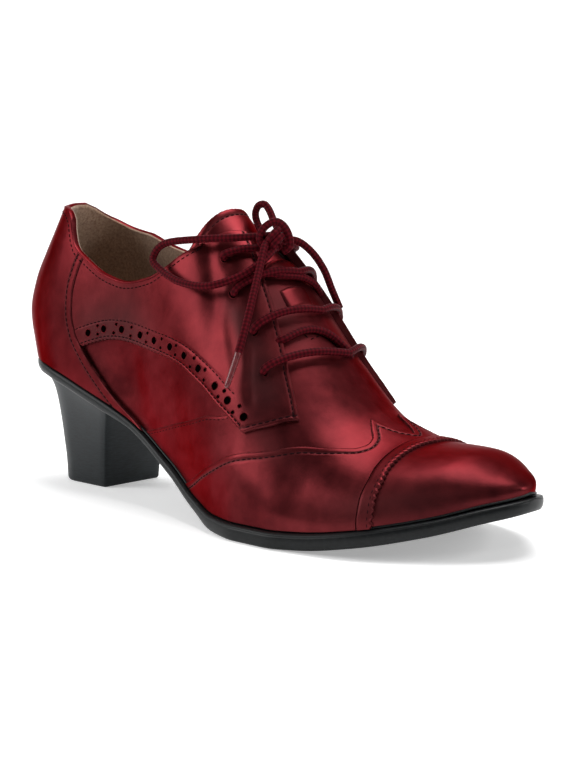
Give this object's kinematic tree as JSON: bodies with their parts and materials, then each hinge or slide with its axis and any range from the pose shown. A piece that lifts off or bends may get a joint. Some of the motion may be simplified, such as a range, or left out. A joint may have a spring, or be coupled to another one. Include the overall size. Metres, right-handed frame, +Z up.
{
  "type": "heeled oxford shoe",
  "caption": "Women's heeled lace-up shoe in wingtip brogue style, with a hollow leather upper, a block heel, a thin rocker sole and a tied round lace.",
  "frame": {"origin": "middle of the heel's flat bottom, on the floor", "axes": "+X towards the toe, +Y towards the inner (medial) side, +Z up; the outer (lateral) side is -Y"},
  "size_m": [0.2527, 0.0838, 0.12],
  "materials": {
    "upper": "semi-gloss metallic burgundy leather",
    "counter": "semi-gloss metallic burgundy leather",
    "quarter_lateral": "semi-gloss metallic burgundy leather",
    "quarter_medial": "semi-gloss metallic burgundy leather",
    "wing": "semi-gloss metallic burgundy leather",
    "cap_band": "semi-gloss metallic burgundy leather",
    "tongue": "semi-gloss metallic burgundy leather",
    "outsole": "matt charcoal",
    "heel": "satin charcoal covered block",
    "insole": "matt beige",
    "lace_bar_1": "waxed round cord",
    "lace_bar_2": "waxed round cord",
    "lace_bar_3": "waxed round cord",
    "lace_bow": "waxed round cord"
  },
  "bodies": {
    "root": {"upper": "upper", "counter": "counter", "quarter_lateral": "quarter_lateral", "quarter_medial": "quarter_medial", "wing": "wing", "cap_band": "cap_band", "tongue": "tongue", "outsole": "outsole", "heel": "heel", "insole": "insole", "lace_bar_1": "lace_bar_1", "lace_bar_2": "lace_bar_2", "lace_bar_3": "lace_bar_3", "lace_bow": "lace_bow"}
  },
  "joints": []
}
